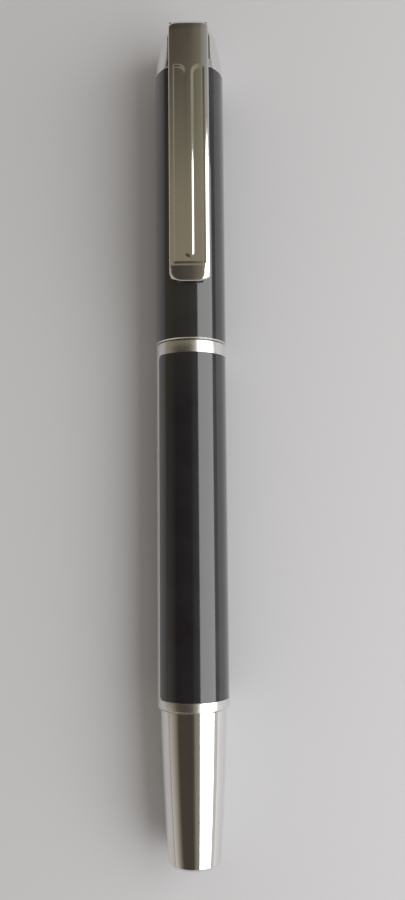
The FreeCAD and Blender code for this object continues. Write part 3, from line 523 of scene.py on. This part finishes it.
def make_clip():
    """The sprung clip: a domed blade with a sunk face, a rolled lip and a head with its tab."""
    path = [Vector(point) for point in clip_path()]
    columns, edge, drop = 96, 1.3 * MM, 0.45 * MM
    shape = bmesh.new()
    rings = []
    for number, point in enumerate(path):
        ahead = path[min(number + 1, len(path) - 1)] - path[max(number - 1, 0)]
        normal = Vector((-ahead.y, ahead.x)).normalized()
        half = clip_half_width(point.x)
        thick = 0.45 * MM + (CLIP_THICK - 0.45 * MM) * smooth_step(
            point.x, CLIP_LOW[1] + 0.3 * MM, CLIP_LOW[1] + 2.2 * MM)
        outer, inner = [], []
        for k in range(columns + 1):
            across = -half + 2 * half * k / columns
            side = max(abs(across) - half + edge, 0)
            sunk = drop * (1 - math.sqrt(max(1 - (side / edge) ** 2, 0)))
            sunk += 0.12 * MM * (across / half) ** 2 + recess_depth(across, point.x)
            face = point - normal * min(sunk, thick * 0.8)
            back = point - normal * (thick - 0.12 * MM * max(side / edge, 0))
            outer.append(shape.verts.new((across, face.x, AXIS_Z + face.y)))
            inner.append(shape.verts.new((across, back.x, AXIS_Z + back.y)))
        rings.append(outer + inner[::-1])
    for low, high in zip(rings, rings[1:]):
        for k in range(len(low)):
            j = (k + 1) % len(low)
            shape.faces.new((low[k], low[j], high[j], high[k]))
    for ring in (rings[0], rings[-1]):
        shape.faces.new(ring)
    bmesh.ops.recalc_face_normals(shape, faces=shape.faces)
    mesh = bpy.data.meshes.new("clip_blade")
    shape.to_mesh(mesh)
    shape.free()
    add_piece("clip_blade", mesh, CHROME, "clip", "bright_chrome", "clip")
    end, foot = CLIP_HIGH[1], AXIS_Z + CLIP_RISE - HEAD_DEPTH
    for name, low, high in (
            ("clip_head", (-CLIP_HALF + 0.12 * MM, end - 5.6 * MM, foot),
             (CLIP_HALF - 0.12 * MM, end - 0.8 * MM, AXIS_Z + CLIP_RISE - 0.75 * MM)),
            ("clip_tab", (-1.2 * MM, end - 4.4 * MM, foot - 2.0 * MM),
             (1.2 * MM, end - 3.4 * MM, foot + 0.1 * MM))):
        block = add_piece(name, box_mesh(name, low, high), CHROME, "clip", "bright_chrome")
        bevel = block.modifiers.new("edge", "BEVEL")
        bevel.width = 0.12 * MM
        bevel.segments = 3
        even_normals(block)


# ---------------------------------------------------------------- pieces kept from the CAD build

def finish_cad_nodes():
    """Gives every CAD node that stays its finish, and smooths the ones the hand touches."""
    finishes = {
        BRASS: ("barrel_thread_bush", "tail_coupling", "section_thread_collar"),
        RUBBER: ("section_seal_ring", "piston_seal"),
        GRIP_PLASTIC: ("grip_section",),
        MATTE_PLASTIC: ("converter_mouth", "converter_guide", "converter_knob", "ink_nipple",
                        "nib_housing", "inner_cap", "converter_drive_nut", "piston_rod"),
        FEED_PLASTIC: ("feed",),
        NIB_STEEL: ("nib", "crown_screw"),
        TIPPING: ("nib_tip",),
        SPRING_STEEL: ("cap_clutch_ring", "crown_lock_washer"),
        CHROME: ("grip_trim_ring",),
        SATIN_METAL: ("converter_ferrule",),
        CLEAR_PLASTIC: ("converter_tube",),
    }
    for finish, nodes in finishes.items():
        for node in nodes:
            piece = bpy.data.objects[node]
            piece.data.materials.clear()
            piece.data.materials.append(finish)
            edge = piece.modifiers.new("edge", "BEVEL")
            edge.width = 0.04 * MM
            edge.segments = 2
            edge.limit_method = "ANGLE"
            edge.angle_limit = math.radians(40)
            even_normals(piece)


# ---------------------------------------------------------------- studio

def make_floor():
    """A plain pale floor, a little warmer and darker in faint soft patches."""
    material, tree, shader = new_material("studio_floor")
    field = add_noise(tree, 2.2, detail=2.0)
    tree.links.new(add_ramp(tree, field, [(0.535, 0.54, 0.56), (0.575, 0.58, 0.605)]),
                   shader.inputs["Base Color"])
    fine = add_noise(tree, 900.0, detail=3.0)
    tree.links.new(add_range(tree, fine, 0.55, 0.70), shader.inputs["Roughness"])
    mesh = bpy.data.meshes.new("studio_floor")
    mesh.from_pydata([(-1.5, -1.5, 0), (1.5, -1.5, 0), (1.5, 1.5, 0), (-1.5, 1.5, 0)], [],
                     [(0, 1, 2, 3)])
    mesh.materials.append(material)
    floor = bpy.data.objects.new("studio_floor", mesh)
    bpy.context.scene.collection.objects.link(floor)


LAMP_ALONG = -0.09
LAMP_SIDE = 0.262
LAMP_HEIGHT = 0.235
LAMP_LENGTH = 0.62
LAMP_WIDTH = 0.34
LAMP_WATTS = 1.65

# The room's shade by direction across the pen, from the far left (0) to the far right (1).
ROOM_SHADES = [
    (0.0, (0.22, 0.19, 0.14)), (0.035, (0.19, 0.165, 0.115)), (0.115, (0.065, 0.052, 0.040)),
    (0.45, (0.058, 0.048, 0.040)), (0.50, (0.080, 0.070, 0.055)), (0.56, (0.22, 0.20, 0.15)),
    (0.66, (0.26, 0.25, 0.22)), (1.0, (0.42, 0.42, 0.44)),
]
# How much of the paler ceiling shows by direction along the pen, from the tail to the cap end.
CEILING_SHARES = [(0.57, 0.0), (0.64, 0.75), (0.70, 0.65), (0.755, 0.12), (0.80, 0.0)]
CEILING_SHADE = (0.28, 0.25, 0.175, 1)
HORIZON_SHADE = (0.70, 0.65, 0.58, 1)
FILL_SHADE = (0.44, 0.41, 0.37, 1)


def add_stops(tree, source, stops):
    """Maps a 0 to 1 value onto colours at given positions."""
    ramp = tree.nodes.new("ShaderNodeValToRGB")
    elements = ramp.color_ramp.elements
    while len(elements) < len(stops):
        elements.new(0.5)
    for element, (position, colour) in zip(elements, stops):
        element.position = position
        element.color = (*colour, 1)
    tree.links.new(source, ramp.inputs["Fac"])
    return ramp.outputs["Color"]


def add_mix(tree, share, first, shade):
    """Blends a linked colour into a fixed shade."""
    mix = tree.nodes.new("ShaderNodeMix")
    mix.data_type = "RGBA"
    factor, colour, other = mix.inputs[0], mix.inputs[6], mix.inputs[7]
    tree.links.new(share, factor)
    tree.links.new(first, colour)
    other.default_value = shade
    return mix.outputs[2]


def make_lamp():
    """One large soft lamp on the right, with its long side along the pen."""
    light = bpy.data.lights.new("key", "AREA")
    light.shape = "RECTANGLE"
    light.size, light.size_y = LAMP_LENGTH, LAMP_WIDTH
    light.energy = LAMP_WATTS
    lamp = bpy.data.objects.new("key", light)
    lamp.location = (LAMP_SIDE, LAMP_ALONG, LAMP_HEIGHT)
    aim = Vector((0, LAMP_ALONG, AXIS_Z)) - lamp.location
    lamp.rotation_euler = aim.to_track_quat("-Z", "Y").to_euler()
    bpy.context.scene.collection.objects.link(lamp)


def make_room():
    """The dim room that metal mirrors, and an even pale fill for diffuse surfaces."""
    world = bpy.data.worlds.new("room")
    world.use_nodes = True
    tree = world.node_tree
    place = tree.nodes.new("ShaderNodeTexCoord")
    split = tree.nodes.new("ShaderNodeSeparateXYZ")
    tree.links.new(place.outputs["Generated"], split.inputs["Vector"])
    across = add_range(tree, split.outputs["X"], 0.0, 1.0, -1.0, 1.0)
    along = add_range(tree, split.outputs["Y"], 0.0, 1.0, -1.0, 1.0)
    colour = add_stops(tree, across, ROOM_SHADES)
    shares = add_stops(tree, along, [(position, (share,) * 3)
                                     for position, share in CEILING_SHARES])
    colour = add_mix(tree, shares, colour, CEILING_SHADE)
    horizon = tree.nodes.new("ShaderNodeMath")
    horizon.operation = "MULTIPLY"
    low = add_range(tree, split.outputs["Z"], 1.0, 0.0, 0.0, 0.60)
    behind = add_range(tree, split.outputs["Y"], 1.0, 0.0, -0.6, 0.1)
    tree.links.new(low, horizon.inputs[0])
    tree.links.new(behind, horizon.inputs[1])
    colour = add_mix(tree, horizon.outputs[0], colour, HORIZON_SHADE)
    path = tree.nodes.new("ShaderNodeLightPath")
    colour = add_mix(tree, path.outputs["Is Diffuse Ray"], colour, FILL_SHADE)
    tree.links.new(colour, tree.nodes["Background"].inputs["Color"])
    bpy.context.scene.world = world


def make_camera():
    lens = bpy.data.cameras.new("camera")
    lens.lens = 32.8
    lens.sensor_width = 36
    lens.clip_start = 0.005
    camera = bpy.data.objects.new("camera", lens)
    camera.location = (0.00170, -0.0178, AXIS_Z + 0.13726)
    camera.rotation_euler = (math.radians(5.857), 0, math.radians(-0.495))
    bpy.context.scene.collection.objects.link(camera)
    bpy.context.scene.camera = camera


make_barrel()
make_tail()
make_cap()
make_crown()
make_clip()
finish_cad_nodes()
make_floor()
make_lamp()
make_room()
make_camera()
bpy.context.scene.view_settings.view_transform = "Standard"
